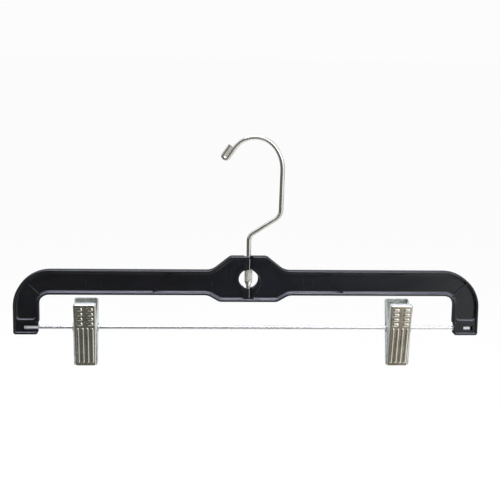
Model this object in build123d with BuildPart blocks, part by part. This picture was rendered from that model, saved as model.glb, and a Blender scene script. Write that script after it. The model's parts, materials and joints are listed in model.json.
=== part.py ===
from build123d import *
import os
from math import acos, asin, atan2, ceil, cos, degrees, hypot, pi, radians, sin, sqrt, tan

# A skirt hanger: a moulded frame with a swivelling wire hook above it, a steel crossbar
# between its arms, and two sprung clips that slide and swing on the crossbar.
# X runs along the crossbar, Z up, and the front faces -Y. The origin lies on the hook's
# swivel axis, on the underside of its crown, where a rail carries the hanger.

os.makedirs("parts", exist_ok=True)

# Fits shared by all pieces
running_fit = 0.08  # radial clearance of a wire or tube that turns in its bore
side_fit = 0.15  # gap between pieces that move beside each other
overrun = 2.0  # how far a cut runs past the material

# Hanger frame
frame_length = 355.6
frame_depth = 8.0
beam_height = 18.8
arm_width = 19.25
arm_drop = 30.8
outer_corner_radius = 28.0
inner_corner_radius = 8.0
arm_end_radius = 1.8
rim_thickness = 2.0
rim_edge_radius = 0.6
rim_lip_radius = 0.9
web_thickness = 2.2
cove_radius = 1.4

# Boss in the middle of the beam
boss_rise = 11.0
boss_drop = 5.1
boss_top_width = 27.8
boss_shoulder_width = 55.4
boss_bottom_width = 44.1
boss_skirt_run = 8.8  # from a corner of the boss's underside out to the beam's
boss_top_radius = 5.0
boss_shoulder_radius = 12.0
boss_skirt_radius = 9.0
boss_bottom_radius = 7.0
window_radius = 7.4
window_ring_width = 2.3
bearing_width = 8.2
bearing_depth = 5.2
bearing_slot_near = 0.6  # the slot beside the wire starts this far from the swivel axis
bearing_slot_far = 3.2

# Ribs in the recesses of the frame
rib_thickness = 1.1
rib_stand = 1.5
brace_top = 56.9  # distance from the swivel axis at the beam's top
brace_run = 16.5

# Sockets at the ends of the arms
socket_rise = 6.1
socket_recess = 1.2
socket_setback = 0.8
rod_above_arm_end = 5.0
channel_length = 11.2
channel_height = 6.3
port_overlap = 2.8
port_length = 7.2

# Crossbar
rod_radius = 1.5
rod_overhang = 14.0  # length inside each arm
rod_chamfer = 0.4

# Hook
wire_radius = 1.7
crown_radius = 18.85
crown_offset = 3.8  # the crown's centre lies this far to one side of the swivel axis
crown_height = 71.4  # the crown's centre above the boss
crown_end_angle = 145.0  # where the crown passes into its straight tip, from the level
shoulder_radius = 27.9
shoulder_angle = 37.8  # where the crown passes into the shoulder over the shank
shank_lean = 1.2
lower_bend_height = 15.75
diagonal_angle = 32.4
lower_bend_radius = 7.0
upper_bend_radius = 9.0
tip_length = 8.9
tip_gap = 0.3
tip_fold_length = 8.6
wire_end_radius = 0.4
crimp_width = 5.8
crimp_thickness = 1.9
crimp_length = 8.6
crimp_shoulder = 0.5
crimp_taper = 3.0
tail_length = 32.7  # from the top of the boss down to the end of the wire

# Clips
left_clip_inset = 35.05  # distance of a clip from the inner face of its arm
right_clip_inset = 42.0
sheet = 0.7
jaw_above = 22.85  # length of a jaw above the foot of the normal from the crossbar
jaw_below = 29.0
jaw_tilt = 13.9
rear_jaw_width = 18.1
front_jaw_top_width = 16.8
front_jaw_bottom_width = 15.7
jaw_corner_radius = 1.6
jaw_bend_radius = 1.0
handle_lip = 4.5
grip_lip = 1.5
jaw_mouth = 0.3
ear_radius = 4.2

# Dimples and ribs stamped into a jaw, rounded outside and hollow inside
dimple_length = 5.2
dimple_width = 3.0
dimple_height = 0.75
dimple_columns = 8.0  # distance between the columns
dimple_pitch = 4.05
dimple_rows = 4
lowest_dimple = 6.9  # above the foot of the normal from the crossbar
grip_rib_count = 4
grip_rib_pitch = 3.6
grip_rib_width = 2.2
grip_rib_height = 0.6
grip_rib_top = 3.8
grip_rib_bottom = -26.2
hollow_share = 0.8  # depth of a stamp's hollow as a share of its height

# Pivot tube through the ears of a clip
tube_wall = 0.5
tube_head = 0.45
tube_head_radius = 3.4

# Clip spring
spring_wire_radius = 0.55
spring_play = 0.35  # radial gap between the coil and the tube
spring_turns = 6
spring_pitch = 1.65
leg_length = 20.0
leg_straight = 2.6
leg_bend_radius = 2.5
leg_end_offset = 1.6

# Heights and places that follow
crown_inner_radius = crown_radius - wire_radius
crown_centre_z = -sqrt(crown_inner_radius**2 - crown_offset**2)
boss_top_z = crown_centre_z - crown_height
beam_top_z = boss_top_z - boss_rise
beam_bottom_z = beam_top_z - beam_height
boss_bottom_z = beam_bottom_z - boss_drop
boss_middle_z = (boss_top_z + boss_bottom_z) / 2
arm_end_z = beam_bottom_z - arm_drop
rod_z = arm_end_z + rod_above_arm_end
arm_outer_x = frame_length / 2
arm_inner_x = arm_outer_x - arm_width
socket_top_z = rod_z + socket_rise
clip_places = {"left": left_clip_inset - arm_inner_x, "right": arm_inner_x - right_clip_inset}


def block(x_ends, y_ends, z_ends, mode=Mode.ADD):
    """A block between two values of x, of y and of z."""
    sizes = [abs(ends[1] - ends[0]) for ends in (x_ends, y_ends, z_ends)]
    middle = [(ends[0] + ends[1]) / 2 for ends in (x_ends, y_ends, z_ends)]
    with Locations(Vector(*middle)):
        Box(*sizes, mode=mode)


def rib(start, end, depth):
    """A thin rib between two points (x, z) of the frame, centred on its middle plane."""
    run = end[0] - start[0]
    rise = end[1] - start[1]
    middle = ((start[0] + end[0]) / 2, 0, (start[1] + end[1]) / 2)
    with Locations(Location(middle, (0, -degrees(atan2(rise, run)), 0))):
        Box(hypot(run, rise), depth, rib_thickness)


def frame_corners():
    """Corners of the right half of the frame's outline, as x, z and radius, from the top middle."""
    return [
        (boss_top_width / 2, boss_top_z, boss_top_radius),
        (boss_shoulder_width / 2, beam_top_z, boss_shoulder_radius),
        (arm_outer_x, beam_top_z, outer_corner_radius),
        (arm_outer_x, arm_end_z, arm_end_radius),
        (arm_inner_x + socket_setback, arm_end_z, arm_end_radius),
        (arm_inner_x + socket_setback, socket_top_z - 3 * socket_setback, socket_setback),
        (arm_inner_x, socket_top_z - 2 * socket_setback, socket_setback),
        (arm_inner_x, beam_bottom_z, inner_corner_radius),
        (boss_bottom_width / 2 + boss_skirt_run, beam_bottom_z, boss_skirt_radius),
        (boss_bottom_width / 2, boss_bottom_z, boss_bottom_radius),
    ]


def cut_sockets():
    """Cuts the crossbar's sockets from the front and, turned half round, from the back."""
    snug = rod_radius + running_fit
    channel_end = arm_inner_x + channel_length
    port_start = channel_end - port_overlap
    port_end = port_start + port_length
    for side in (-1, 1):
        face = side * (frame_depth / 2 + overrun)
        for start, end in ((arm_inner_x - overrun, channel_end), (-port_start, -port_end)):
            span = (side * start, side * end)
            tall = (rod_z - channel_height / 2, rod_z + channel_height / 2)
            tight = (rod_z - snug, rod_z + snug)
            block(span, (side * snug, face), tall, mode=Mode.SUBTRACT)
            block(span, (-side * snug, side * (snug + side_fit)), tight, mode=Mode.SUBTRACT)


def make_frame():
    """The moulded frame: a rimmed beam with two arms, a boss for the hook and two sockets."""
    half = frame_corners()
    corners = half + [(-x, z, r) for x, z, r in reversed(half)]
    top_inside = boss_top_z - rim_thickness / 2
    bottom_inside = boss_bottom_z + rim_thickness / 2
    with BuildPart() as frame:
        with BuildSketch(Plane.XZ) as outline:
            with BuildLine():
                FilletPolyline(
                    *[(x, z) for x, z, r in corners], radius=[r for x, z, r in corners], close=True
                )
            make_face()
        extrude(amount=frame_depth / 2, both=True)
        fillet(frame.faces().filter_by(Axis.Y).edges(), radius=rim_edge_radius)

        # Shallow recess of the front and of the back, and the deep one above the sockets
        for side in (-1, 1):
            face_plane = Plane.XZ.offset(-side * frame_depth / 2)
            with BuildSketch(face_plane) as shallow:
                add(outline.sketch_local)
                offset(amount=-rim_thickness, mode=Mode.REPLACE)
            extrude(amount=side * socket_recess, mode=Mode.SUBTRACT)
            rim = frame.faces().filter_by(Axis.Y).sort_by(Axis.Y)[-1 if side > 0 else 0]
            fillet(rim.inner_wires().edges(), radius=rim_lip_radius)
            with BuildSketch(face_plane):
                add(shallow.sketch_local)
                with Locations((0, socket_top_z)):
                    Rectangle(
                        frame_length, arm_drop, align=(Align.CENTER, Align.MAX), mode=Mode.SUBTRACT
                    )
                ends = vertices().group_by(Axis.Y)[0]
                fillet(ends, radius=2 * cove_radius)
            extrude(amount=side * (frame_depth - web_thickness) / 2, mode=Mode.SUBTRACT)
            floor = frame.faces().filter_by(Axis.Y).filter_by_position(
                Axis.Y, side * web_thickness / 2 - side_fit, side * web_thickness / 2 + side_fit
            )
            fillet(floor.edges(), radius=cove_radius)

        # Ring round the window and bearing column for the wire
        with BuildSketch(Plane.XZ):
            with Locations((0, boss_middle_z)):
                Circle(window_radius + window_ring_width)
        extrude(amount=bearing_depth / 2, both=True)
        block(
            (-bearing_width / 2, bearing_width / 2),
            (-bearing_depth / 2, bearing_depth / 2),
            (bottom_inside, top_inside),
        )

        # Braces across the beam and ribs over the corners
        stand = web_thickness + 2 * rib_stand
        edge = rim_thickness / 2
        corner_inset = outer_corner_radius * (1 - sqrt(2) / 2) + edge
        inner_inset = inner_corner_radius * (1 - sqrt(2) / 2) - edge
        for side in (-1, 1):
            rib(
                (side * brace_top, beam_top_z - edge),
                (side * (brace_top + brace_run), beam_bottom_z + edge),
                stand,
            )
            rib(
                (side * (arm_outer_x - corner_inset), beam_top_z - corner_inset),
                (side * (arm_inner_x - inner_inset), beam_bottom_z - inner_inset),
                stand,
            )

        # Window, wire bore and the slots beside the bore
        with BuildSketch(Plane.XZ):
            with Locations((0, boss_middle_z)):
                Circle(window_radius)
        extrude(amount=frame_depth, both=True, mode=Mode.SUBTRACT)
        with BuildSketch(Plane.XY.offset(boss_bottom_z - overrun)):
            Circle(wire_radius + running_fit)
        extrude(amount=boss_top_z - boss_bottom_z + 2 * overrun, mode=Mode.SUBTRACT)
        for side in (-1, 1):
            block(
                (-side * bearing_slot_near, -side * bearing_slot_far),
                (0, side * (frame_depth / 2 + overrun)),
                (boss_bottom_z + rim_thickness, boss_top_z + overrun),
                mode=Mode.SUBTRACT,
            )
        cut_sockets()
    return frame


def make_crossbar():
    """The steel rod between the arms."""
    length = 2 * (arm_inner_x + rod_overhang)
    with BuildPart() as crossbar:
        with BuildSketch(Plane.YZ.offset(-length / 2)):
            with Locations((0, rod_z)):
                Circle(rod_radius)
        extrude(amount=length)
        chamfer(crossbar.edges().filter_by(GeomType.CIRCLE), length=rod_chamfer)
    return crossbar


def polar(centre, radius, angle):
    """Point (x, z) at a radius and an angle from a centre."""
    turn = radians(angle)
    return centre[0] + radius * cos(turn), centre[1] + radius * sin(turn)


def hook_bend(shank_top):
    """Corner of the hook's wire between its diagonal and its shank."""
    lean = tan(radians(shank_lean))
    rise = tan(radians(diagonal_angle))
    start_z = boss_top_z + lower_bend_height
    x = (shank_top[0] - lean * (shank_top[1] - start_z)) / (1 - lean * rise)
    return x, start_z + rise * x


def make_hook():
    """The wire hook, crimped flat in the window so that it can turn but not pull out."""
    roof_z = boss_middle_z + sqrt(window_radius**2 - (crimp_width / 2) ** 2)
    crimp_top_z = roof_z - 2 * side_fit
    stem_z = crimp_top_z + crimp_shoulder
    crimp_bottom_z = crimp_top_z - crimp_length
    neck_z = crimp_bottom_z - crimp_taper
    crown_centre = (crown_offset, crown_centre_z)
    shoulder_centre = polar(crown_centre, crown_radius - shoulder_radius, shoulder_angle)
    shank_top = polar(shoulder_centre, shoulder_radius, -shank_lean)
    crown_end = polar(crown_centre, crown_radius, crown_end_angle)
    tip = polar(crown_end, tip_length, crown_end_angle + 90)
    fold_radius = wire_radius + tip_gap / 2
    fold_centre = polar(tip, fold_radius, crown_end_angle)
    fold_start = polar(fold_centre, fold_radius, crown_end_angle)
    with BuildPart() as hook:
        # Wire from the stem over the crown to the folded tip
        with BuildLine(Plane.XZ) as route:
            FilletPolyline(
                (0, stem_z),
                (0, boss_top_z + lower_bend_height),
                hook_bend(shank_top),
                shank_top,
                radius=[lower_bend_radius, upper_bend_radius],
            )
            CenterArc(shoulder_centre, shoulder_radius, -shank_lean, shoulder_angle + shank_lean)
            CenterArc(crown_centre, crown_radius, shoulder_angle, crown_end_angle - shoulder_angle)
            Line(crown_end, tip)
            CenterArc(fold_centre, fold_radius, crown_end_angle + 180, -180)
            Line(fold_start, polar(fold_start, tip_fold_length, crown_end_angle - 90))
        with BuildSketch(Plane.XY.offset(stem_z)):
            Circle(wire_radius)
        sweep(path=route.wire())

        # Flattened length of the wire in the window, with its shoulder and its taper
        for low, low_round, high, high_round in (
            (crimp_top_z, False, stem_z, True),
            (crimp_bottom_z, False, crimp_top_z, False),
            (neck_z, True, crimp_bottom_z, False),
        ):
            for z, is_round in ((low, low_round), (high, high_round)):
                with BuildSketch(Plane.XY.offset(z)):
                    if is_round:
                        Circle(wire_radius)
                    else:
                        Ellipse(crimp_width / 2, crimp_thickness / 2)
            loft()

        # Tail in the lower bore
        with BuildSketch(Plane.XY.offset(boss_top_z - tail_length)):
            Circle(wire_radius)
        extrude(amount=neck_z - boss_top_z + tail_length)
        ends = hook.edges().filter_by(GeomType.CIRCLE)
        tail_end = ends.sort_by(Axis.Z)[0]
        fillet(tail_end, radius=wire_end_radius)
    return hook


def tangent_point(radius, point, turn):
    """Where a line from a point touches a circle round the origin, on the side given by turn."""
    angle = atan2(point[1], point[0]) + turn * acos(radius / hypot(*point))
    return radius * cos(angle), radius * sin(angle)


tilt = radians(jaw_tilt)
plate_outside = jaw_below * tan(tilt) + jaw_mouth / 2 / cos(tilt) + grip_lip
plate_inside = plate_outside - sheet
tube_radius = rod_radius + running_fit + tube_wall
ear_hole_radius = tube_radius + running_fit


def jaw_plane(clip_x, side):
    """A jaw's plane through the crossbar's axis: local x along it, y up the jaw, z outwards.
    Side is -1 for the front jaw and 1 for the rear jaw."""
    return Plane(
        origin=(clip_x, 0, rod_z),
        x_dir=(-side, 0, 0),
        z_dir=(0, side * cos(tilt), -sin(tilt)),
    )


def make_stamp(length, width, height):
    """A raised form of round section with round ends, along x with its base on z = 0."""
    radius = (width**2 / 4 + height**2) / (2 * height)
    with BuildPart() as form:
        with Locations((0, 0, height - radius)):
            Cylinder(radius, length - width, rotation=(0, 90, 0))
        with Locations((0, 0, height - radius)):
            with GridLocations(length - width, 0, 2, 1):
                Sphere(radius)
        split(bisect_by=Plane.XY.offset(-sheet / 2), keep=Keep.TOP)
    return form.part


def stamp_pair(length, width, height):
    """A stamp's outside and the hollow that it leaves inside."""
    outside = make_stamp(length, width, height)
    return outside, make_stamp(length - sheet, width - sheet, hollow_share * height)


def jaw_profile(plane, top_width, bottom_width, inset):
    """Corners of a jaw's plate, narrowed by an inset on every side."""
    return [
        (top_width / 2 - inset, jaw_above - inset),
        (-top_width / 2 + inset, jaw_above - inset),
        (-bottom_width / 2 + inset, -jaw_below + inset),
        (bottom_width / 2 - inset, -jaw_below + inset),
    ]


def make_jaw(clip_x, side, top_width, bottom_width):
    """A stamped jaw: a dimpled plate with side flanges, folded lips and two pierced ears."""
    plane = jaw_plane(clip_x, side)
    side_plane = Plane(origin=plane.origin, x_dir=plane.y_dir, z_dir=plane.x_dir)
    handle_point = (jaw_above, plate_outside - handle_lip)
    grip_point = (-jaw_below, plate_outside - grip_lip)
    dimple_middle = lowest_dimple + dimple_pitch * (dimple_rows - 1) / 2
    rib_length = grip_rib_top - grip_rib_bottom
    dimples = stamp_pair(dimple_length, dimple_width, dimple_height)
    grip_ribs = stamp_pair(rib_length, grip_rib_width, grip_rib_height)
    with BuildPart() as jaw:
        # Outer form, cut to its side profile
        with BuildSketch(plane.offset(-ear_radius - overrun)):
            with BuildLine():
                Polyline(*jaw_profile(plane, top_width, bottom_width, 0), close=True)
            make_face()
            fillet(vertices(), radius=jaw_corner_radius)
        extrude(amount=plate_outside + ear_radius + overrun)
        outside = jaw.faces().sort_by(Axis(plane.origin, plane.z_dir))[-1]
        fillet(outside.edges(), radius=jaw_bend_radius)
        with BuildSketch(side_plane):
            with BuildLine():
                Polyline(
                    (jaw_above, plate_outside),
                    handle_point,
                    tangent_point(ear_radius, handle_point, -1),
                    tangent_point(ear_radius, grip_point, 1),
                    grip_point,
                    (-jaw_below, plate_outside),
                    close=True,
                )
            make_face()
            Circle(ear_radius)
        extrude(amount=top_width, both=True, mode=Mode.INTERSECT)

        # Hollow inside and the holes of the ears
        with BuildSketch(plane.offset(-ear_radius - overrun)):
            with BuildLine():
                Polyline(*jaw_profile(plane, top_width, bottom_width, sheet), close=True)
            make_face()
            fillet(vertices(), radius=jaw_corner_radius - sheet)
        extrude(amount=plate_inside + ear_radius + overrun, mode=Mode.SUBTRACT)
        with BuildSketch(side_plane):
            Circle(ear_hole_radius)
        extrude(amount=top_width, both=True, mode=Mode.SUBTRACT)

        # Dimples of the handle and ribs of the grip
        for height, dimple, grip_rib, mode in (
            (plate_outside, dimples[0], grip_ribs[0], Mode.ADD),
            (plate_inside, dimples[1], grip_ribs[1], Mode.SUBTRACT),
        ):
            with Locations(plane.offset(height)):
                with Locations((0, dimple_middle)):
                    with GridLocations(dimple_columns, dimple_pitch, 2, dimple_rows):
                        add(dimple, mode=mode)
                with Locations((0, (grip_rib_top + grip_rib_bottom) / 2)):
                    with GridLocations(grip_rib_pitch, 0, grip_rib_count, 1):
                        add(grip_rib, rotation=(0, 0, 90), mode=mode)
    return jaw


def make_tube(clip_x):
    """The flared tube that holds both jaws together and slides on the crossbar."""
    reach = rear_jaw_width / 2 + side_fit
    outer = reach + tube_head
    with BuildPart() as tube:
        with BuildSketch(Plane.YZ.offset(clip_x - outer)):
            with Locations((0, rod_z)):
                Circle(tube_head_radius)
        extrude(amount=2 * outer)
        with BuildSketch(Plane.YZ.offset(clip_x - reach)):
            with Locations((0, rod_z)):
                Circle(tube_head_radius + overrun)
                Circle(tube_radius, mode=Mode.SUBTRACT)
        extrude(amount=2 * reach, mode=Mode.SUBTRACT)
        with BuildSketch(Plane.YZ.offset(clip_x - outer - overrun)):
            with Locations((0, rod_z)):
                Circle(rod_radius + running_fit)
        extrude(amount=2 * (outer + overrun), mode=Mode.SUBTRACT)
        rims = tube.edges().filter_by(GeomType.CIRCLE).group_by(SortBy.RADIUS)[-1]
        fillet(rims, radius=tube_head / 3)
    return tube


def biarc(start, start_way, end, end_way):
    """Two arcs that leave start along start_way and reach end along end_way."""
    chord = end - start
    ways = start_way + end_way
    turn = 2 * (1 - start_way.dot(end_way))
    along = chord.dot(ways)
    reach = (sqrt(along**2 + turn * chord.dot(chord)) - along) / turn
    near = start + start_way * reach
    far = end - end_way * reach
    middle = (near + far) * 0.5
    TangentArc(start, middle, tangent=start_way)
    TangentArc(middle, end, tangent=far - near)


coil_radius = tube_radius + spring_play + spring_wire_radius
coil_climb = spring_pitch / (2 * pi)
leg_target = plate_inside - spring_wire_radius - side_fit
leg_splay = asin(leg_target / hypot(coil_radius, leg_length)) - atan2(coil_radius, leg_length)
leg_angle = tilt + leg_splay  # between a leg and the upright plane of the crossbar
coil_start_angle = pi + leg_angle
coil_sweep = 2 * pi * spring_turns + pi - 2 * leg_angle


def coil_point(clip_x, angle):
    """Point and direction of the coil's centreline, angle radians after its front end."""
    turned = coil_start_angle + angle
    x = clip_x + coil_climb * (angle - coil_sweep / 2)
    place = Vector(x, coil_radius * cos(turned), rod_z + coil_radius * sin(turned))
    way = Vector(coil_climb, -coil_radius * sin(turned), coil_radius * cos(turned))
    return place, way.normalized()


def leg_points(clip_x, side):
    """The coil's end, the leg's bend and its tip; side is -1 in front and 1 behind."""
    end, way = coil_point(clip_x, 0 if side < 0 else coil_sweep)
    rise = Vector(0, side * sin(leg_angle), cos(leg_angle))
    bend = end + way * side * leg_straight
    tip = end + rise * leg_length
    return end, bend, Vector(clip_x + side * leg_end_offset, tip.Y, tip.Z)


def bent_leg(first, corner, last):
    """Two straight runs joined by an arc at their corner."""
    before = (corner - first).normalized()
    after = (last - corner).normalized()
    setback = leg_bend_radius * tan(radians(before.get_angle(after)) / 2)
    arc_start = corner - before * setback
    arc_end = corner + after * setback
    Line(first, arc_start)
    TangentArc(arc_start, arc_end, tangent=before)
    Line(arc_end, last)


def make_spring(clip_x):
    """The torsion spring round the tube, with a leg up the inside of each handle."""
    steps = ceil(coil_sweep / pi)
    front_end, front_bend, front_tip = leg_points(clip_x, -1)
    rear_end, rear_bend, rear_tip = leg_points(clip_x, 1)
    with BuildPart() as spring:
        with BuildLine() as route:
            bent_leg(front_tip, front_bend, front_end)
            for step in range(steps):
                start, start_way = coil_point(clip_x, coil_sweep * step / steps)
                end, end_way = coil_point(clip_x, coil_sweep * (step + 1) / steps)
                biarc(start, start_way, end, end_way)
            bent_leg(rear_end, rear_bend, rear_tip)
        with BuildSketch(Plane(origin=front_tip, z_dir=(front_bend - front_tip).normalized())):
            Circle(spring_wire_radius)
        sweep(path=route.wire())
    return spring


def coil_gap():
    """The least gap between one turn of the coil and the next, measured on points."""
    samples = 72
    first, _ = coil_point(0, pi)
    later = [coil_point(0, pi + 2 * pi * (0.5 + k / samples))[0] for k in range(samples)]
    return min((place - first).length for place in later) - 2 * spring_wire_radius


pieces = {
    "hanger_frame": make_frame(),
    "swivel_hook": make_hook(),
    "crossbar": make_crossbar(),
}
for hand, clip_x in clip_places.items():
    pieces[hand + "_clip_pivot_tube"] = make_tube(clip_x)
    pieces[hand + "_clip_rear_jaw"] = make_jaw(clip_x, 1, rear_jaw_width, rear_jaw_width)
    pieces[hand + "_clip_front_jaw"] = make_jaw(
        clip_x, -1, front_jaw_top_width, front_jaw_bottom_width
    )
    pieces[hand + "_clip_spring"] = make_spring(clip_x)

for name, piece in pieces.items():
    piece.part.label = name
    export_step(piece.part, "parts/" + name + ".step")

print("least gap between turns of the clip spring:", round(coil_gap(), 3), "mm")
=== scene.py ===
import json
from math import cos, pi, radians, sin, tan

import bmesh
import bpy
from mathutils import Matrix, Vector


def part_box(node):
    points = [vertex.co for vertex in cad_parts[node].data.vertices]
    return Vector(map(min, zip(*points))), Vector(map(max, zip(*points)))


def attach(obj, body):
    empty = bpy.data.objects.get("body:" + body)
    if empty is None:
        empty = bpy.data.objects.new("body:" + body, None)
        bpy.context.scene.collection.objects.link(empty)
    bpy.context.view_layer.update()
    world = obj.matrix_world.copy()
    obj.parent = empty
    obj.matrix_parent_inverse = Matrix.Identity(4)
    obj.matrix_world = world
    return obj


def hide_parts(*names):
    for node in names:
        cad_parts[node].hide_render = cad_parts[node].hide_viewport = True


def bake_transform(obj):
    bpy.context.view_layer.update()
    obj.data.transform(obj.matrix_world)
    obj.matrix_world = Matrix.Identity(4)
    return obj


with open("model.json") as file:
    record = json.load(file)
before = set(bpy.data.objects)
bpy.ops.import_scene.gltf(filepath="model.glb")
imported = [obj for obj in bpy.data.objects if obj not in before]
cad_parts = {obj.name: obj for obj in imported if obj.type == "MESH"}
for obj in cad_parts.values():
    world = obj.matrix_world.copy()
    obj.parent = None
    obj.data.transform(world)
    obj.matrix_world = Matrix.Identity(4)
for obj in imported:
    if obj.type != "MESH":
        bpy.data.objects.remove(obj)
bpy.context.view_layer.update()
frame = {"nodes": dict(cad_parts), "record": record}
scene = bpy.context.scene
scene.view_settings.view_transform = "Standard"
nodes = frame["nodes"]


# Places taken from the frame
def joint_place(name):
    joint = next(j for j in frame["record"]["behaviour"]["joints"] if j["name"] == name)
    return Vector(joint["pos_m"])


boss_top_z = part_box("hanger_frame")[1][2]
clip_places = {hand: joint_place(hand + "_swing") for hand in ("left", "right")}
rod_z = clip_places["left"].z

# Camera, a little above the hanger and left of its middle
camera_target = Vector((0.00092, 0, boss_top_z + 0.00475))
camera_distance = 0.92126
camera_azimuth = radians(-3.338)
camera_elevation = radians(9.9)
camera_roll = radians(0.908)
camera_lens = 87.40
camera_sensor = 36
camera_clip_start = 0.01


def make_camera():
    forward = Vector(
        (
            -sin(camera_azimuth) * cos(camera_elevation),
            cos(camera_azimuth) * cos(camera_elevation),
            -sin(camera_elevation),
        )
    )
    level = Vector((cos(camera_azimuth), sin(camera_azimuth), 0))
    upright = level.cross(forward)
    right = level * cos(camera_roll) + upright * sin(camera_roll)
    up = right.cross(forward)
    turn = Matrix((right, up, -forward)).transposed()
    place = camera_target - forward * camera_distance
    camera = bpy.data.objects.new("camera", bpy.data.cameras.new("camera"))
    camera.data.lens = camera_lens
    camera.data.sensor_width = camera_sensor
    camera.data.clip_start = camera_clip_start
    camera.matrix_world = Matrix.Translation(place) @ turn.to_4x4()
    scene.collection.objects.link(camera)
    scene.camera = camera


make_camera()

# Most of a noise lies between these two values
noise_low = 0.3
noise_high = 0.7


class Nodes:
    """A small helper that adds shader nodes and joins them."""

    def __init__(self, tree):
        self.tree = tree

    def add(self, kind, **settings):
        node = self.tree.nodes.new("ShaderNode" + kind)
        for name, value in settings.items():
            setattr(node, name, value)
        return node

    def set(self, socket, value):
        if isinstance(value, bpy.types.NodeSocket):
            self.tree.links.new(value, socket)
        elif value is not None:
            socket.default_value = value

    def math(self, operation, first, second=None):
        node = self.add("Math", operation=operation)
        self.set(node.inputs[0], first)
        self.set(node.inputs[1], second)
        return node.outputs[0]

    def plus(self, first, second):
        return self.math("ADD", first, second)

    def minus(self, first, second):
        return self.math("SUBTRACT", first, second)

    def times(self, first, second):
        return self.math("MULTIPLY", first, second)

    def absolute(self, value):
        return self.math("ABSOLUTE", value)

    def diagonal(self, first, second):
        """Length of the diagonal across two sides."""
        return self.math("SQRT", self.plus(self.times(first, first), self.times(second, second)))

    def split(self, place):
        node = self.add("SeparateXYZ")
        self.set(node.inputs[0], place)
        return node.outputs

    def stretch(self, place, scale, turn=(0, 0, 0)):
        node = self.add("Mapping")
        self.set(node.inputs["Vector"], place)
        node.inputs["Scale"].default_value = scale
        node.inputs["Rotation"].default_value = turn
        return node.outputs["Vector"]

    def mix(self, factor, first, second):
        node = self.add("Mix", data_type="RGBA")
        self.set(node.inputs["Factor"], factor)
        self.set(node.inputs["A"], first)
        self.set(node.inputs["B"], second)
        return node.outputs["Result"]

    def noise(self, place, scale=1.0, detail=2.0, roughness=0.5):
        node = self.add("TexNoise")
        self.set(node.inputs["Vector"], place)
        node.inputs["Scale"].default_value = scale
        node.inputs["Detail"].default_value = detail
        node.inputs["Roughness"].default_value = roughness
        return node.outputs["Fac"]

    def ramp(self, factor, *stops):
        node = self.add("ValToRGB")
        self.set(node.inputs["Fac"], factor)
        elements = node.color_ramp.elements
        while len(elements) < len(stops):
            elements.new(0.5)
        for element, (position, colour) in zip(elements, stops):
            element.position = position
            element.color = (*colour, 1)
        return node.outputs["Color"]

    def shades(self, noise, dark, light):
        """A colour that a noise carries from dark to light."""
        return self.ramp(noise, (noise_low, dark), (noise_high, light))

    def range(self, value, low, high, to_low, to_high):
        node = self.add("MapRange")
        self.set(node.inputs["Value"], value)
        names = ("From Min", "From Max", "To Min", "To Max")
        for name, number in zip(names, (low, high, to_low, to_high)):
            node.inputs[name].default_value = number
        return node.outputs["Result"]

    def bump(self, height, strength, distance, normal=None):
        node = self.add("Bump")
        node.inputs["Strength"].default_value = strength
        node.inputs["Distance"].default_value = distance
        self.set(node.inputs["Height"], height)
        self.set(node.inputs["Normal"], normal)
        return node.outputs["Normal"]


def new_material(name):
    material = bpy.data.materials.new(name)
    material.use_nodes = True
    shader = material.node_tree.nodes["Principled BSDF"]
    return material, Nodes(material.node_tree), shader


# Where the moulded frame carries its marks
web_face = 0.0011  # distance of the web's faces from the middle plane
beam_below_boss = 0.011  # from the boss's top to the beam's top
beam_half_height = 0.0094
beam_middle_z = boss_top_z - beam_below_boss - beam_half_height
ejector_spacing = 0.046
ejector_radius = 0.0026
line_width = 0.00012
window_ring_radius = 0.0097
bearing_half_width = 0.0041
ring_rounding = 0.0004
ring_relief = 7  # times the depth of the other marks
mark_depth = 0.00006

# Colours and gloss of the black plastic
plastic_deep = (0.0030, 0.0034, 0.0055)
plastic_pale = (0.0055, 0.0062, 0.0100)
scuff_colour = (0.03, 0.032, 0.036, 1)
scuff_cover = 0.35
scuff_dulling = 0.12
# Dust and a painted sheen of the light from above share this lavender colour
dust_and_sheen_colour = (0.100, 0.105, 0.140, 1)
dust_and_sheen_above = 0.08  # share of the dust and painted sheen that lies on the upper rim
dust_and_sheen_fade = 0.003
plastic_gloss = (0.17, 0.25)
plastic_shine = 0.6


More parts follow.
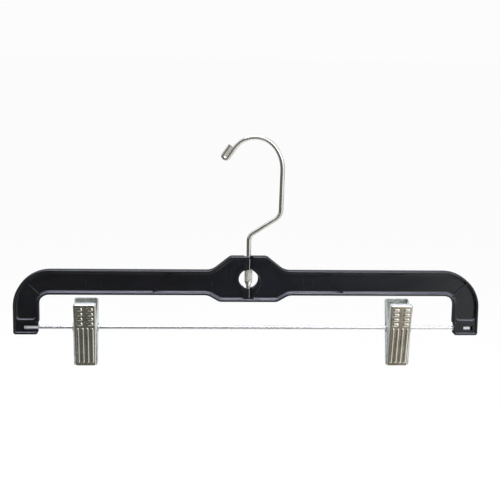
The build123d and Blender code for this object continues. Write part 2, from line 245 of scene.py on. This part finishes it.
def black_plastic():
    """Moulded black plastic: nearly black with a blue cast, flow marks, scuffs, dust with a painted
    sheen on up-facing faces, and mould marks.
    """
    material, kit, shader = new_material("black_plastic")
    place = kit.add("TexCoord").outputs["Object"]
    x, y, z = kit.split(place)
    facing = kit.split(kit.add("TexCoord").outputs["Normal"])
    tone = kit.noise(place, scale=45, detail=4, roughness=0.6)
    colours = kit.shades(tone, plastic_deep, plastic_pale)

    # Flow marks run lengthwise through the web, and thin scuffs cross it
    flow = kit.noise(kit.stretch(place, (18, 60, 110)), detail=3, roughness=0.55)
    scuffs = kit.noise(kit.stretch(place, (900, 500, 70), turn=(0, 0.5, 0)), detail=3, roughness=0.6)
    scuffed = kit.range(scuffs, 0.66, 0.74, 0, 1)
    scratched = kit.mix(kit.times(scuffed, scuff_cover), colours, scuff_colour)

    # A thin lavender haze lightens what faces up, most of it on the lower rim: partly dust, partly a
    # painted sheen of the light from above
    lower_rim_weight = kit.range(z, beam_middle_z - dust_and_sheen_fade, beam_middle_z + dust_and_sheen_fade, 1, dust_and_sheen_above)
    dust_and_sheen_weight = kit.times(lower_rim_weight, kit.range(tone, 0.25, 0.75, 0.8, 1))
    dust_and_sheen_cover = kit.times(kit.range(facing[2], 0.1, 0.8, 0, 1), dust_and_sheen_weight)
    kit.set(shader.inputs["Base Color"], kit.mix(dust_and_sheen_cover, scratched, dust_and_sheen_colour))
    gloss = kit.range(flow, noise_low, noise_high, *plastic_gloss)
    kit.set(shader.inputs["Roughness"], kit.plus(gloss, kit.times(scuffed, scuff_dulling)))

    # Ejector marks on the back of the web
    across = kit.minus(kit.math("PINGPONG", x, ejector_spacing), ejector_spacing / 2)
    along = kit.minus(z, beam_middle_z)
    disc = kit.range(kit.diagonal(across, along), ejector_radius * 0.94, ejector_radius, 1, 0)
    behind = kit.range(y, web_face * 0.8, web_face * 0.9, 0, 1)

    # Parting line round the edge, and the rounded edge of the ring round the window
    parting = kit.range(kit.absolute(y), line_width / 2, line_width, 1, 0)
    inner_edge = window_ring_radius - ring_rounding
    edge = kit.range(kit.diagonal(x, along), inner_edge, window_ring_radius, ring_relief, 0)
    beside = kit.range(kit.absolute(x), bearing_half_width, bearing_half_width + ring_rounding, 0, 1)
    raised = kit.plus(parting, kit.times(edge, beside))
    marks = kit.minus(raised, kit.times(disc, behind))

    grain = kit.bump(kit.noise(place, scale=2600), strength=0.05, distance=0.0001)
    wavy = kit.bump(flow, strength=0.10, distance=0.0006, normal=grain)
    marked = kit.bump(marks, strength=0.6, distance=mark_depth, normal=wavy)
    kit.set(shader.inputs["Normal"], marked)
    shader.inputs["Specular IOR Level"].default_value = plastic_shine
    return material


# Crimp of the hook's wire in the window
crimp_below_boss = 0.0109
crimp_height = 0.0086
crimp_top_z = boss_top_z - crimp_below_boss
crimp_bottom_z = crimp_top_z - crimp_height
crimp_edge = 0.0006
crimp_dulling = 0.22
knurl_pitch = 0.0011
knurl_depth = 0.00022

# Ends of the crossbar, rubbed dull where they went into their sockets
socket_mouth = 0.1589  # distance from the swivel axis
rubbed_fade = 0.0012
rubbed_dulling = 0.30
bar_metal = 0.85
rubbed_metal = 0.60


def knurl(kit, x, z, slope):
    """Ridges across the x, z plane that rise to one side, as high as 1."""
    along = kit.plus(z, kit.times(x, slope))
    return kit.math("DIVIDE", kit.math("PINGPONG", along, knurl_pitch / 2), knurl_pitch / 2)


def plated(name, dark, light, smooth, rough, ripple, crimp=None, rubbed_beyond=None):
    """Bright plating whose tone varies between two colours and its roughness between two values.
    A crimp, given as its lower and upper z, is knurled and duller.
    Beyond a distance from the swivel axis the plating is rubbed dull."""
    material, kit, shader = new_material(name)
    place = kit.add("TexCoord").outputs["Object"]
    tone = kit.noise(place, scale=90, detail=3)
    kit.set(shader.inputs["Base Color"], kit.shades(tone, dark, light))
    shader.inputs["Metallic"].default_value = 1
    smear = kit.noise(place, scale=240, detail=4, roughness=0.6)
    gloss = kit.range(smear, noise_low, noise_high, smooth, rough)
    surface = kit.bump(kit.noise(place, scale=420), strength=ripple, distance=0.0002)
    if crimp:
        bottom, top = crimp
        x, y, z = kit.split(place)
        above = kit.range(z, bottom, bottom + crimp_edge, 0, 1)
        below = kit.range(z, top - crimp_edge, top, 1, 0)
        inside = kit.times(above, below)
        hatch = kit.times(knurl(kit, x, z, 1), knurl(kit, x, z, -1))
        ridges = kit.times(hatch, inside)
        surface = kit.bump(ridges, strength=1.0, distance=knurl_depth, normal=surface)
        gloss = kit.plus(gloss, kit.times(inside, crimp_dulling))
    if rubbed_beyond:
        reach = kit.absolute(kit.split(place)[0])
        rubbed = kit.range(reach, rubbed_beyond, rubbed_beyond + rubbed_fade, 0, 1)
        gloss = kit.plus(gloss, kit.times(rubbed, rubbed_dulling))
        kit.set(shader.inputs["Metallic"], kit.range(rubbed, 0, 1, bar_metal, rubbed_metal))
    kit.set(shader.inputs["Roughness"], gloss)
    kit.set(shader.inputs["Normal"], surface)
    return material


# Plates of the clips, which lean away from the crossbar's upright plane
jaw_tilt = radians(13.9)
plate_outside = 0.00883  # distance of a plate's outer face from the crossbar's axis
sheet = 0.0007
jaw_above = 0.02285
jaw_below = 0.0290
flange_depth = plate_outside - 1.9 * sheet
plate_depth = plate_outside - 1.2 * sheet

# Colours and gloss of the jaws
nickel_dark = (0.60, 0.585, 0.54)
nickel_light = (0.73, 0.715, 0.67)
dull_dark = (0.42, 0.46, 0.44)
dull_light = (0.80, 0.84, 0.81)
# The lip's lavender colour paints the sheen of the bluish light from above
lip_sheen_colour = (0.50, 0.505, 0.56, 1)
nickel_gloss = (0.11, 0.20)
scuff_roughness = 0.16
dull_roughness = 0.34
dull_metal = 0.45


def jaw_plating():
    """Nickel plate of a jaw: polished lengthwise outside, dull and blotchy on flanges and inside, with a
    painted sheen coloured onto the lip.
    """
    material, kit, shader = new_material("jaw_plating")
    place = kit.add("TexCoord").outputs["Object"]
    y, z = kit.split(place)[1:]
    facing = kit.split(kit.add("TexCoord").outputs["Normal"])

    # Depth from the crossbar's axis towards the plate, and height along the plate
    off_middle = kit.absolute(y)
    rise = kit.minus(z, rod_z)
    depth = kit.minus(kit.times(off_middle, cos(jaw_tilt)), kit.times(rise, sin(jaw_tilt)))
    height = kit.plus(kit.times(off_middle, sin(jaw_tilt)), kit.times(rise, cos(jaw_tilt)))
    below_lip = kit.range(height, jaw_above - sheet / 2, jaw_above - sheet / 3, 1, 0)
    above_foot = kit.range(height, -jaw_below + sheet / 3, -jaw_below + sheet / 2, 0, 1)
    flange = kit.range(depth, flange_depth, plate_depth, 1, 0)

    # How far a face looks outwards, square to the plate
    sideways = kit.times(kit.math("SIGN", y), kit.times(facing[1], cos(jaw_tilt)))
    outward = kit.minus(sideways, kit.times(facing[2], sin(jaw_tilt)))
    behind = kit.math("MAXIMUM", flange, kit.range(outward, -0.5, -0.3, 1, 0))
    inside = kit.times(behind, kit.times(below_lip, above_foot))
    lip = kit.times(flange, kit.minus(1, below_lip))
    soft = kit.plus(inside, lip)

    # Colour: bright outside, blotchy inside, and a lavender painted sheen on the lip
    bright = kit.shades(kit.noise(place, scale=110, detail=3), nickel_dark, nickel_light)
    blotch = kit.noise(place, scale=520, detail=4, roughness=0.7)
    dull = kit.shades(blotch, dull_dark, dull_light)
    kit.set(shader.inputs["Base Color"], kit.mix(lip, kit.mix(inside, bright, dull), lip_sheen_colour))
    kit.set(shader.inputs["Metallic"], kit.range(soft, 0, 1, 1, dull_metal))

    # Polish runs along the plate, and scuffs cross it
    polish = kit.noise(kit.stretch(place, (2600, 2600, 90)), detail=3, roughness=0.6)
    scuffs = kit.noise(kit.stretch(place, (300, 300, 1800), turn=(0, 0.7, 0)), detail=3, roughness=0.6)
    gloss = kit.range(polish, noise_low, noise_high, *nickel_gloss)
    worn = kit.plus(gloss, kit.range(scuffs, 0.62, 0.75, 0, scuff_roughness))
    kit.set(shader.inputs["Roughness"], kit.plus(worn, kit.times(soft, dull_roughness)))
    lines = kit.bump(polish, strength=0.10, distance=0.00005)
    wavy = kit.bump(kit.noise(place, scale=150), strength=0.14, distance=0.0005, normal=lines)
    rough = kit.bump(kit.times(blotch, inside), strength=0.5, distance=0.0003, normal=wavy)
    kit.set(shader.inputs["Normal"], rough)
    return material


hook_colours = (0.68, 0.675, 0.65), (0.82, 0.815, 0.79)
bar_colours = (0.70, 0.705, 0.74), (0.81, 0.815, 0.86)
tube_colours = (0.60, 0.59, 0.55), (0.74, 0.73, 0.69)
spring_colours = (0.56, 0.56, 0.55), (0.72, 0.72, 0.71)

finishes = {
    "black_plastic": black_plastic(),
    "hook_wire": plated(
        "hook_wire", *hook_colours, 0.13, 0.26, ripple=0.15, crimp=(crimp_bottom_z, crimp_top_z)
    ),
    "bar_steel": plated("bar_steel", *bar_colours, 0.20, 0.30, ripple=0.10, rubbed_beyond=socket_mouth),
    "clip_sheet": jaw_plating(),
    "clip_tube": plated("clip_tube", *tube_colours, 0.15, 0.28, ripple=0.15),
    "spring_wire": plated("spring_wire", *spring_colours, 0.16, 0.28, ripple=0.15),
}

slot_of = {part["node"]: part["material_slot"] for part in frame["record"]["subparts"]}
for name, node in nodes.items():
    for slot in node.material_slots:
        slot.material = finishes[slot_of[name]]


def finished(name, shape, smooth=True):
    """Turns a bmesh into an object of the scene."""
    mesh = bpy.data.meshes.new(name)
    for face in shape.faces:
        face.smooth = smooth
    shape.to_mesh(mesh)
    shape.free()
    piece = bpy.data.objects.new(name, mesh)
    scene.collection.objects.link(piece)
    return piece


# Torsion springs of the clips, wound round the crossbar's axis
wire_radius = 0.00055
wire_sides = 14
end_inset = wire_radius * 0.4
end_bulge = wire_radius * 0.25
coil_radius = 0.00298
coil_pitch = 0.00165
coil_turns = 6
coil_steps_per_turn = 40
leg_length = 0.020
leg_straight = 0.0026
leg_bend = 0.0025
leg_bend_steps = 8
leg_angle = radians(26.68)
leg_end_offset = 0.0016
coil_sweep = 2 * pi * coil_turns + pi - 2 * leg_angle


def wire(name, path):
    """A round wire along a path of points, with rounded ends."""
    shape = bmesh.new()
    ring = bmesh.ops.create_circle(shape, segments=wire_sides, radius=wire_radius)["verts"]
    way = (path[1] - path[0]).normalized()
    turn = Vector((0, 0, 1)).rotation_difference(way).to_matrix().to_4x4()
    bmesh.ops.transform(shape, matrix=Matrix.Translation(path[0]) @ turn, verts=ring)
    edges = shape.edges[:]
    caps = [ring]
    for before, point, after in zip(path, path[1:], path[2:] + [None]):
        swept = bmesh.ops.extrude_edge_only(shape, edges=edges)["geom"]
        ring = [v for v in swept if isinstance(v, bmesh.types.BMVert)]
        edges = [e for e in swept if isinstance(e, bmesh.types.BMEdge)]
        next_way = ((after or point) - before).normalized()
        bend = way.rotation_difference(next_way).to_matrix().to_4x4()
        move = Matrix.Translation(point) @ bend @ Matrix.Translation(-before)
        bmesh.ops.transform(shape, matrix=move, verts=ring)
        way = next_way
    caps.append(ring)
    for cap in caps:
        rim = [e for e in shape.edges if all(v in cap for v in e.verts)]
        face = bmesh.ops.contextual_create(shape, geom=rim)["faces"]
        bmesh.ops.inset_region(shape, faces=face, thickness=end_inset, depth=end_bulge)
    bmesh.ops.recalc_face_normals(shape, faces=shape.faces)
    return finished(name, shape)


def coil_point(centre, angle):
    """A point of the coil, angle radians after the end that carries the front leg."""
    turned = pi + leg_angle + angle
    shift = coil_pitch * (angle - coil_sweep / 2) / (2 * pi)
    return centre + Vector((shift, coil_radius * cos(turned), coil_radius * sin(turned)))


def leg_path(centre, side):
    """Points of a leg from the coil to its tip; side is -1 in front and 1 behind."""
    end_angle = 0 if side < 0 else coil_sweep
    end = coil_point(centre, end_angle)
    way = (coil_point(centre, end_angle + side * 0.01) - end).normalized()
    rise = Vector((0, side * sin(leg_angle), cos(leg_angle)))
    corner = end + way * leg_straight
    tip = end + rise * leg_length
    tip.x = centre.x + side * leg_end_offset
    along = (tip - corner).normalized()
    setback = leg_bend * tan(way.angle(along) / 2)
    start, stop = corner - way * setback, corner + along * setback
    arc = []
    for k in range(1, leg_bend_steps):
        share = k / leg_bend_steps
        arc.append((start.lerp(corner, share)).lerp(corner.lerp(stop, share), share))
    return [end, start, *arc, stop, tip]


def make_spring(hand):
    """A coil whose ends follow the two jaws, and a leg that rides on each jaw."""
    centre = clip_places[hand]
    steps = round(coil_steps_per_turn * coil_sweep / (2 * pi))
    path = [coil_point(centre, coil_sweep * k / steps) for k in range(steps + 1)]
    coil = wire(hand + "_spring_coil", path)
    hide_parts(hand + "_clip_spring")
    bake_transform(coil)
    pieces = [coil]
    for side, jaw in ((-1, "_front"), (1, "_rear")):
        leg = wire(hand + "_spring" + jaw + "_leg", leg_path(centre, side))
        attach(leg, hand + jaw)
        pieces.append(leg)
    for piece in pieces:
        piece.data.materials.append(finishes["spring_wire"])


for hand in clip_places:
    make_spring(hand)


# Surroundings
floor_z = -0.45
floor_radius = 30
floor_sides = 96
floor_paint = (0.96, 0.96, 0.96, 1)
floor_white = (1.0, 1.0, 1.0, 1)
floor_glow = 0.88
background_white = (0.975, 0.975, 0.975, 1)
daylight = (0.97, 0.98, 1.0, 1)
world_light = 0.75
lamp_aim = Vector((0, 0, -0.1))


def seen_directly(kit):
    """1 for what the eye, metal or glass sees, and 0 for what only lights the hanger."""
    path = kit.add("LightPath")
    seen = kit.math("MAXIMUM", path.outputs["Is Camera Ray"], path.outputs["Is Glossy Ray"])
    return kit.math("MAXIMUM", seen, path.outputs["Is Transmission Ray"])


def show(kit, output, factor, lit, shown):
    """Joins two shaders to an output: shown for direct sight, lit for the light on the hanger."""
    choice = kit.add("MixShader")
    kit.set(choice.inputs["Fac"], factor)
    kit.set(choice.inputs[1], lit.outputs[0])
    kit.set(choice.inputs[2], shown.outputs[0])
    kit.set(kit.tree.nodes[output].inputs["Surface"], choice.outputs[0])


def make_world():
    """White surroundings that light the hanger evenly."""
    world = bpy.data.worlds.new("surroundings")
    world.use_nodes = True
    scene.world = world
    kit = Nodes(world.node_tree)
    shown = kit.tree.nodes["Background"]
    shown.inputs["Color"].default_value = background_white
    lit = kit.add("Background")
    lit.inputs["Color"].default_value = daylight
    lit.inputs["Strength"].default_value = world_light
    show(kit, "World Output", seen_directly(kit), lit, shown)


def make_floor():
    """A wide pale floor below the hanger, which keeps the hanger's shadow."""
    shape = bmesh.new()
    bmesh.ops.create_circle(shape, cap_ends=True, segments=floor_sides, radius=floor_radius)
    bmesh.ops.translate(shape, vec=(0, 0, floor_z), verts=shape.verts)
    floor = finished("floor", shape, smooth=False)
    material, kit, shader = new_material("floor_paint")
    shader.inputs["Base Color"].default_value = floor_paint
    shader.inputs["Roughness"].default_value = 0.9
    shader.inputs["Specular IOR Level"].default_value = 0.1
    glow = kit.add("Emission")
    glow.inputs["Color"].default_value = floor_white
    show(kit, "Material Output", kit.times(seen_directly(kit), floor_glow), shader, glow)
    floor.data.materials.append(material)


def softbox(name, place, size, power):
    """A lamp with a soft, even face that is turned to the middle of the hanger."""
    lamp = bpy.data.lights.new(name, "AREA")
    lamp.shape = "RECTANGLE"
    lamp.size, lamp.size_y = size
    lamp.energy = power
    holder = bpy.data.objects.new(name, lamp)
    turn = (lamp_aim - Vector(place)).to_track_quat("-Z", "Y").to_matrix().to_4x4()
    holder.matrix_world = Matrix.Translation(place) @ turn
    scene.collection.objects.link(holder)


def painted_reflection(name, place, aim, size, *stops):
    """A glowing sheet, which is no lamp and lights nothing, that only metal and gloss can see: a painted
    reflection. Each stop is an x and the colour there.
    """
    shape = bmesh.new()
    bmesh.ops.create_grid(shape, x_segments=1, y_segments=1, size=0.5)
    bmesh.ops.scale(shape, vec=(*size, 1), verts=shape.verts)
    turn = (Vector(aim) - Vector(place)).to_track_quat("Z", "Y").to_matrix().to_4x4()
    bmesh.ops.transform(shape, matrix=Matrix.Translation(place) @ turn, verts=shape.verts)
    piece = finished(name, shape, smooth=False)
    material, kit, shader = new_material(name)
    x = kit.split(kit.add("TexCoord").outputs["Object"])[0]
    left, right = stops[0][0], stops[-1][0]
    colours = [((at - left) / (right - left), colour) for at, colour in stops]
    shader.inputs["Base Color"].default_value = (0, 0, 0, 1)
    shader.inputs["Specular IOR Level"].default_value = 0
    # The emission is the painted reflection that metal and gloss show
    kit.set(shader.inputs["Emission Color"], kit.ramp(kit.range(x, left, right, 0, 1), *colours))
    shader.inputs["Emission Strength"].default_value = 1
    piece.data.materials.append(material)
    piece.visible_camera = False
    piece.visible_diffuse = False
    piece.visible_shadow = False
    piece.visible_transmission = False


make_world()
make_floor()
softbox("top_light", (0.0, -0.05, 0.75), (0.6, 0.6), 14)
softbox("left_light", (-0.9, -0.25, 0.35), (0.3, 0.6), 0.6)
softbox("right_light", (0.75, -0.80, 0.38), (0.5, 0.7), 4)

# Colours of the glowing cards, painted reflections and painted shade, from dark to bright
soot = (0.05, 0.05, 0.045)
umber = (0.07, 0.065, 0.05)
night = (0.10, 0.105, 0.13)
dark = (0.11, 0.11, 0.10)
moss = (0.12, 0.12, 0.105)
dusk = (0.13, 0.15, 0.19)
olive = (0.15, 0.15, 0.12)
brown = (0.17, 0.14, 0.10)
slate = (0.21, 0.24, 0.28)
drab = (0.24, 0.24, 0.22)
ash = (0.28, 0.28, 0.27)
grey = (0.35, 0.35, 0.34)
shade = (0.42, 0.42, 0.40)
stone = (0.50, 0.51, 0.50)
pebble = (0.58, 0.58, 0.58)
sky = (0.55, 0.57, 0.66)
beige = (0.74, 0.69, 0.60)
pale = (0.9, 0.95, 0.9)
paper = (1.0, 1.0, 1.0)
white = (1.15, 1.15, 1.12)
glare_left = (2.6, 2.7, 3.1)
glare_middle = (4.2, 4.3, 5.0)
glare_right = (5.5, 5.6, 6.4)
card_width = 3.0

# Upright glowing cards in front, one above the other, painted reflections and painted shade, dark on the
# left and bright on the right
painted_reflection(
    "front_card", (0, -1.0, -0.51), (0, 0, -0.51), (card_width, 0.68),
    (-0.5, dark), (-0.05, dark), (0.10, dusk), (0.36, slate), (0.43, pale), (0.6, paper),
)
painted_reflection(
    "upper_front_card", (0, -1.0, 0.08), (0, 0, 0.08), (card_width, 0.50),
    (-0.6, olive), (-0.1, olive), (0.04, drab), (0.26, white), (0.6, white),
)
painted_reflection(
    "high_front_card", (0, -1.0, 1.13), (0, 0, 1.13), (card_width, 1.60),
    (-0.6, olive), (-0.14, olive), (-0.09, shade), (0.0, shade), (0.26, white), (0.6, white),
)

# Glowing cards at the sides, painted reflections
painted_reflection("left_card", (-1.3, -0.3, 0.3), (0, -0.3, 0.3), (1.8, 1.5), (-2, olive), (0, olive))
painted_reflection("right_card", (0.9, -0.1, 0.85), (0, 0, 0), (1.1, 1.1), (-1, grey), (1, grey))

# Glowing cards that lie below the hanger, painted reflections and painted shade, which the plates of the
# clips and the crossbar mirror
painted_reflection(
    "low_card", (0, -0.60, -0.42), (0, -0.60, 0), (card_width, 0.8),
    (-0.3, moss), (-0.14, moss), (-0.10, ash), (0.0, ash),
    (0.05, umber), (0.19, brown), (0.214, beige), (0.6, beige),
)
painted_reflection(
    "under_card", (0, -0.08, -0.43), (0, -0.08, 0), (card_width, 0.24),
    (-0.21, soot), (-0.17, stone), (0.0, pebble), (0.15, white), (0.6, white),
)

# A glowing ceiling card of painted glare, and behind, a dark flag of painted shade and a sky-coloured
# card, painted reflections which rims and upper edges mirror
painted_reflection(
    "ceiling_card", (0, 0.0, 0.74), (0, 0, 0), (0.6, 0.7),
    (-0.3, glare_left), (-0.1, glare_middle), (0.3, glare_right),
)
painted_reflection("rear_flag", (0, 0.5, -0.21), (0, 0, -0.21), (2.4, 0.48), (-1, night), (1, night))
painted_reflection("rear_card", (0, 1.6, 0.75), (0, 0, -0.1), (card_width, 1.0), (-1, sky), (1, sky))
